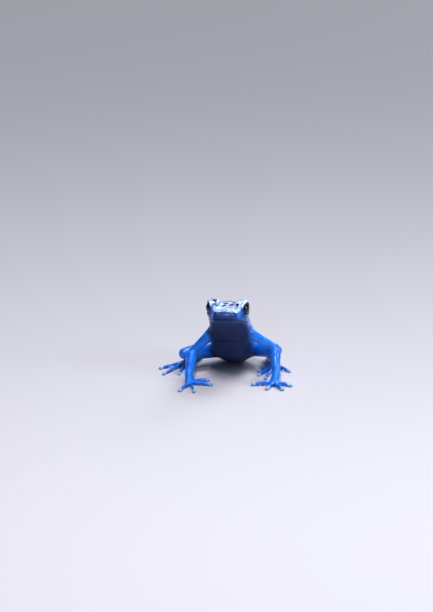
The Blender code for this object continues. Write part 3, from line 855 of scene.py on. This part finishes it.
def moist_frog_skin():
    """Living frog skin, wet with its own mucus over fine glands.

    The mucus gives a clear, sharp gloss over a softer sheen, and the glands give the
    fine grain that breaks the gloss up.
    """
    material, tree, shader = new_material("moist_frog_skin")
    place = add_node(tree, "TexCoord").outputs["Object"]

    def measure(name):
        return add_node(tree, "Attribute", {"attribute_name": name}).outputs["Fac"]

    def noise_of(scale, detail, roughness):
        return add_node(
            tree, "TexNoise", Vector=place, Scale=scale, Detail=detail, Roughness=roughness
        ).outputs["Fac"]

    def maths(operation, *values):
        inputs = {f"i{k}": value for k, value in enumerate(values)}
        return add_node(tree, "Math", {"operation": operation}, **inputs).outputs[0]

    def mixed(share, one, two):
        node = add_node(tree, "Mix", {"data_type": "RGBA"}, i0=share, i6=one, i7=two)
        return node.outputs[2]

    def ranged(value, low, high, new_low=0.0, new_high=1.0):
        return add_node(
            tree,
            "MapRange",
            Value=value,
            From_Min=low,
            From_Max=high,
            To_Min=new_low,
            To_Max=new_high,
        ).outputs["Result"]

    def mottled(pattern, low, high, dark, pale):
        return mixed(ranged(pattern, low, high), hex_colour(dark), hex_colour(pale))

    # Mottling 2.4 mm across, the crown's pale patches 1.4 mm, and grain 0.55 mm, which is drawn
    # coarser than the real glands' 0.2 mm so that it shows.
    mottle = noise_of(420.0, 4.0, 0.6)
    patches = noise_of(700.0, 3.0, 0.55)
    fine = noise_of(1800.0, 3.0, 0.6)
    limb = mottled(mottle, 0.3, 0.7, "#0258c2", "#047eec")
    back = mottled(mottle, 0.3, 0.7, "#0a60c4", "#2288e2")
    # The crown's pale blue is partly its own colour and partly painted light, near white where the
    # light from above falls.
    crown = mottled(patches, 0.34, 0.66, "#5090dc", "#d4e4f6")
    # The underside's navy is partly its own darker blue and partly painted shade under the frog.
    belly = mottled(mottle, 0.3, 0.7, "#01103a", "#02265a")
    colour = mixed(measure("back"), limb, back)
    colour = mixed(measure("belly"), colour, belly)
    # Painted shade: the head's cheeks, the snout's front and its tip go towards navy.
    colour = mixed(maths("MULTIPLY", measure("face_shade"), 0.9), colour, hex_colour("#011c50"))
    # The crown's edge and the spots' edges wander with the mottling and the grain.
    patchy = maths("ADD", measure("crown"), maths("MULTIPLY_ADD", mottle, 0.8, -0.4))
    colour = mixed(ranged(patchy, 0.25, 0.8), colour, crown)
    # Painted highlight: the finger and toe discs are paler blue, for the gloss on their wet tips.
    colour = mixed(measure("pad"), colour, hex_colour("#7fa9d8"))
    ragged = maths("ADD", measure("spot"), maths("MULTIPLY_ADD", fine, 0.16, -0.08))
    dark = ranged(ragged, -0.04, 0.05)
    colour = mixed(dark, colour, hex_colour("#060a1c"))
    # Painted shade in the creases, the mouth's groove, the nostrils and the skin round the
    # eyeballs.
    colour = mixed(measure("shaded_crease"), colour, hex_colour("#031233"))
    tree.links.new(colour, shader.inputs["Base Color"])

    # The underside and the head's painted-shade region are duller than the rest, and the black
    # spots have no wet coat.
    worn = ranged(mottle, 0.3, 0.7, 0.28, 0.42)
    shaded = maths("MAXIMUM", measure("belly"), maths("MULTIPLY", measure("face_shade"), 0.8))
    rough = maths("MULTIPLY_ADD", shaded, 0.28, worn)
    tree.links.new(rough, shader.inputs["Roughness"])
    shader.inputs["IOR"].default_value = 1.36
    dull = maths("MAXIMUM", shaded, dark)
    tree.links.new(ranged(dull, 0.0, 1.0, 0.9, 0.0), shader.inputs["Coat Weight"])
    shader.inputs["Coat Roughness"].default_value = 0.06
    shader.inputs["Coat IOR"].default_value = 1.34

    # Glands 0.45 mm apart, again about twice as coarse as the real ones.
    glands = add_node(
        tree, "TexVoronoi", {"feature": "SMOOTH_F1"}, Vector=place, Scale=2200.0, Smoothness=0.6
    )
    grain = maths("MULTIPLY", fine, 0.5)
    height = maths("SUBTRACT", grain, glands.outputs["Distance"])
    bump = add_node(tree, "Bump", Strength=0.5, Distance=0.0001, Height=height)
    tree.links.new(bump.outputs[0], shader.inputs["Normal"])
    return material


def wet_eye():
    """A frog's eye: a near-black iris, its top gold with flecks and a painted glint, under a wet
    clear cornea.

    The cornea gives small sharp reflections on black.
    """
    material, tree, shader = new_material("wet_eye")
    place = add_node(tree, "TexCoord").outputs["Object"]
    parts = add_node(tree, "SeparateXYZ", Vector=place)
    # Gold flecks 0.4 mm across, denser from 1.45 to 2.1 mm above the eye's middle: partly the
    # iris's own, partly a painted glint.
    fine = add_node(tree, "TexNoise", Vector=place, Scale=2600.0, Detail=4.0)
    rim = add_node(tree, "MapRange", Value=parts.outputs["Y"], From_Min=0.00145, From_Max=0.0021)
    fleck_and_glint = add_node(
        tree, "Math", {"operation": "MULTIPLY"}, i0=rim.outputs[0], i1=fine.outputs["Fac"]
    )
    black, gold = hex_colour("#050506"), hex_colour("#7a5a22")
    colour = add_node(
        tree, "Mix", {"data_type": "RGBA"}, i0=fleck_and_glint.outputs[0], i6=black, i7=gold
    )
    tree.links.new(colour.outputs[2], shader.inputs["Base Color"])
    shader.inputs["Roughness"].default_value = 0.3
    shader.inputs["Specular IOR Level"].default_value = 0.1
    shader.inputs["Coat Weight"].default_value = 1.0
    shader.inputs["Coat Roughness"].default_value = 0.02
    shader.inputs["Coat IOR"].default_value = 1.376
    return material


def new_piece(name, points, faces, material):
    """A smooth-shaded object of this mesh, its points in metres."""
    mesh = bpy.data.meshes.new(name)
    mesh.from_pydata(points.tolist(), [], faces)
    mesh.materials.append(material)
    mesh.shade_smooth()
    piece = bpy.data.objects.new(name, mesh)
    bpy.context.scene.collection.objects.link(piece)
    return piece


def give_measure(piece, name, values):
    """Keeps one number for each point of the mesh, for its material."""
    attribute = piece.data.attributes.new(name, "FLOAT", "POINT")
    attribute.data.foreach_set("value", values.astype(np.float32))


def make_skin():
    """The skin of the whole frog, with the measures that its colours follow."""
    low = np.array(cad_low) / MM - SHIFT - BOX_ROOM
    high = np.array(cad_high) / MM - SHIFT + BOX_ROOM
    clay = Clay(low, high)
    trunk = Trunk(clay.lines[1], clay.lines[2])
    pits = frog_clay(trunk, clay)
    points, faces = clay.skin()
    points = relax(points, faces, ROUNDS_BEFORE)
    points = settle(clay, points)
    points = relax(points, faces, ROUNDS_AFTER)
    plain = plain_share(points)
    points = relax(points, faces, ROUNDS_PLAIN, (SMOOTH * plain, SHARPEN * plain))
    snout = SMOOTH * (1 - fade(points[:, 1:2], -14.2, -13.4))
    points = relax(points, faces, ROUNDS_SNOUT, (snout,))
    relief = Relief(points, np.apply_along_axis(unit, 1, clay.slope(points)))
    relief.body()
    relief.mouth()
    relief.nostrils(pits)
    for side in ("left", "right"):
        relief.lids(side)
        relief.eardrum(side)
    relief.limbs()
    relief.grain(trunk)
    points = relief.applied()
    points[:, 2] = np.maximum(points[:, 2], 0.0)
    skin = new_piece("skin", (points + SHIFT) * MM, faces.tolist(), moist_frog_skin())
    # How much painted shade each point gets in its creases and hollows.
    give_measure(skin, "shaded_crease", np.minimum(relief.shaded_crease, 1.0))
    measure_skin(skin, clay, trunk, points)
    return skin


def measure_skin(skin, clay, trunk, points):
    """Gives the skin the measures of its regions: 1 inside each, falling softly to 0."""
    x, y, z = points.T
    on_body = 1 - fade(trunk.at(x, y, z), *OFF_TRUNK)
    height = trunk.look_up(trunk.rise / trunk.reach, y, z)
    station = trunk.look_up(trunk.station, y, z)
    slope = clay.slope(points)
    up = slope[:, 2]
    on_head = 1 - fade(station, 3.6, 5.4)
    give_measure(skin, "back", on_body * (1 - on_head * (1 - fade(height, 0.1, 0.8))))
    # The underside and the throat below the jaw: their own darker blue, deepened as painted shade.
    on_flank = fade(station, 5.5, 7.0)
    under = 1 - fade(height, -0.6 - 0.15 * on_flank, 0.35 - 0.3 * on_flank)
    give_measure(skin, "belly", on_body * under * (1 - on_head * fade(z, 22.0, 24.5)))
    tip = 1 - fade(y, -13.8, -12.2)
    # The crown, where the head's top faces up: partly its own paler blue, partly painted light
    # from above.
    crown = fade(z, 25.7, 26.6) * (1 - fade(station, 3.4, 7.4)) * fade(up, 0.15, 0.55)
    give_measure(skin, "crown", crown * (1 - tip))
    # Painted shade on the head: 0.65 where the skin doesn't face up, full on the snout's front and
    # tip.
    cheek = 1 - fade(up, 0.0, 0.6)
    front = cheek * fade(-slope[:, 1], 0.2, 0.8)
    give_measure(skin, "face_shade", on_head * np.max([0.65 * cheek, front, tip], 0))
    # The finger and toe discs, which get a paler blue as a painted highlight.
    pads = np.zeros(len(points))
    for places in (*ARMS.values(), *LEGS.values()):
        for tip in places["tips"]:
            pads = np.maximum(pads, 1 - fade(np.hypot(x - tip[0], y - tip[1]), 0.5, 1.2))
    give_measure(skin, "pad", pads * (1 - fade(z, 1.2, 2.0)))
    spots = list(HEAD_SPOTS)
    spots += scattered_spots(clay, trunk, points, [place for place, *_ in HEAD_SPOTS])
    give_measure(skin, "spot", spot_depth(clay, points, spots))


def make_eye(side, material):
    """An eyeball, a little fuller in front where the cornea is."""
    rings, segments = 40, 64
    bulge, bulge_spread = 0.03, 0.6
    tilt = np.linspace(0, math.pi, rings + 1)[1:-1]
    turn = np.linspace(0, 2 * math.pi, segments, endpoint=False)
    radius = EYE_RADIUS * (1 + bulge * np.exp(-((tilt / bulge_spread) ** 2)))
    body = np.stack(
        [
            (radius * np.sin(tilt))[:, None] * np.cos(turn),
            (radius * np.sin(tilt))[:, None] * np.sin(turn),
            np.repeat((radius * np.cos(tilt))[:, None], segments, 1),
        ],
        -1,
    ).reshape(-1, 3)
    points = np.vstack([body, (0, 0, EYE_RADIUS * (1 + bulge)), (0, 0, -EYE_RADIUS)])
    front, rear = len(body), len(body) + 1
    faces = []
    for k in range(segments):
        n = (k + 1) % segments
        faces.append((front, k, n))
        for ring in range(rings - 2):
            a, b = ring * segments, (ring + 1) * segments
            faces.append((a + k, b + k, b + n, a + n))
        a = (rings - 2) * segments
        faces.append((rear, a + n, a + k))
    eye = new_piece(f"{side}_eyeball", points * MM, faces, material)
    looks = unit(mirrored(EYE_LOOKS, side))
    level = unit(np.cross((0.0, 0.0, 1.0), looks))
    upright = np.cross(looks, level)
    turned = Matrix(np.stack([level, upright, looks], 1).tolist()).to_4x4()
    place = (mirrored(EYE_PLACE, side) + SHIFT) * MM
    eye.matrix_world = Matrix.Translation(place.tolist()) @ turned
    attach(eye, "root")
    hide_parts(f"{side}_eye")
    return eye


def make_camera():
    """The photograph's view: 8 degrees to the frog's left of its front and 16 above."""
    frame_width, frame_height = 433, 612
    pixels_a_mm, distance = 2.97, 600.0
    crown, crown_pixel = np.array((0.0, -6.0, 29.4)), (228.0, 298.0)
    azimuth, elevation = math.radians(8), math.radians(16)
    back = np.array(
        (
            math.sin(azimuth) * math.cos(elevation),
            -math.cos(azimuth) * math.cos(elevation),
            math.sin(elevation),
        )
    )
    right = np.array((math.cos(azimuth), math.sin(azimuth), 0.0))
    up = np.cross(right, -back)
    aside = (crown_pixel[0] - frame_width / 2) / pixels_a_mm
    above = (frame_height / 2 - crown_pixel[1]) / pixels_a_mm
    place = crown + back * distance - right * aside - up * above
    lens = bpy.data.cameras.new("camera")
    lens.sensor_width = 36.0
    lens.lens = lens.sensor_width * pixels_a_mm * distance / frame_height
    lens.clip_start = 0.01
    camera = bpy.data.objects.new("camera", lens)
    bpy.context.scene.collection.objects.link(camera)
    turned = Matrix(np.stack([right, up, back], 1).tolist()).to_4x4()
    camera.matrix_world = Matrix.Translation(((place + SHIFT) * MM).tolist()) @ turned
    bpy.context.scene.camera = camera


def add_light(name, place, size, power, colour):
    """A soft rectangular lamp aimed at the frog, its place in metres."""
    lamp = bpy.data.lights.new(name, "AREA")
    lamp.shape = "RECTANGLE"
    lamp.size, lamp.size_y = size
    lamp.energy = power
    lamp.color = hex_colour(colour)[:3]
    light = bpy.data.objects.new(name, lamp)
    light.visible_camera = False
    bpy.context.scene.collection.objects.link(light)
    aim = Vector((0.0, 0.0, 0.015)) - Vector(place)
    light.location = place
    light.rotation_euler = aim.to_track_quat("-Z", "Y").to_euler()


def add_sky_light(name, heading, strength, spread, colour):
    """Soft light from all of one side of the room, which falls evenly on frog and floor."""
    lamp = bpy.data.lights.new(name, "SUN")
    lamp.energy = strength
    lamp.angle = math.radians(spread)
    lamp.color = hex_colour(colour)[:3]
    light = bpy.data.objects.new(name, lamp)
    bpy.context.scene.collection.objects.link(light)
    light.rotation_euler = Vector(heading).to_track_quat("-Z", "Y").to_euler()


def make_studio():
    """A pale floor and soft light, strongest from above and behind on the frog's left.

    A narrow lamp high in front draws the streaks of gloss along the limbs.
    """
    floor_material, tree, shader = new_material("matt_painted_floor")
    shader.inputs["Base Color"].default_value = hex_colour("#b4b8bc")
    shader.inputs["Roughness"].default_value = 0.7
    reach = 30.0
    corners = reach * np.array([(-1, -1, 0), (1, -1, 0), (1, 1, 0), (-1, 1, 0)])
    floor = new_piece("studio_floor", corners, [(0, 1, 2, 3)], floor_material)
    world = bpy.data.worlds.new("studio")
    world.use_nodes = True
    background = world.node_tree.nodes["Background"]
    background.inputs["Color"].default_value = hex_colour("#ccd4de")
    background.inputs["Strength"].default_value = 0.12
    bpy.context.scene.world = world
    bpy.context.scene.view_settings.view_transform = "Standard"
    add_sky_light("ceiling", (-0.3, -0.4, -0.9), 1.95, 30, "#f8faff")
    add_sky_light("behind", (-0.35, -0.9, -0.5), 0.7, 20, "#fbf2ff")
    add_light("overhead", (0.05, 0.10, 0.42), (0.45, 0.45), 0.3, "#f4f8ff")
    add_light("side", (0.34, -0.10, 0.16), (0.10, 0.16), 0.6, "#eef4ff")
    add_light("front", (0.02, -0.20, 0.37), (0.026, 0.16), 1.5, "#ffeef8")


def main():
    """Dresses the frog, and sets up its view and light."""
    skin = make_skin()
    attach(skin, "root")
    flesh = [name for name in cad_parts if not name.endswith("_eye")]
    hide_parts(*flesh)
    eye_material = wet_eye()
    for side in ("left", "right"):
        make_eye(side, eye_material)
    make_camera()
    make_studio()


main()
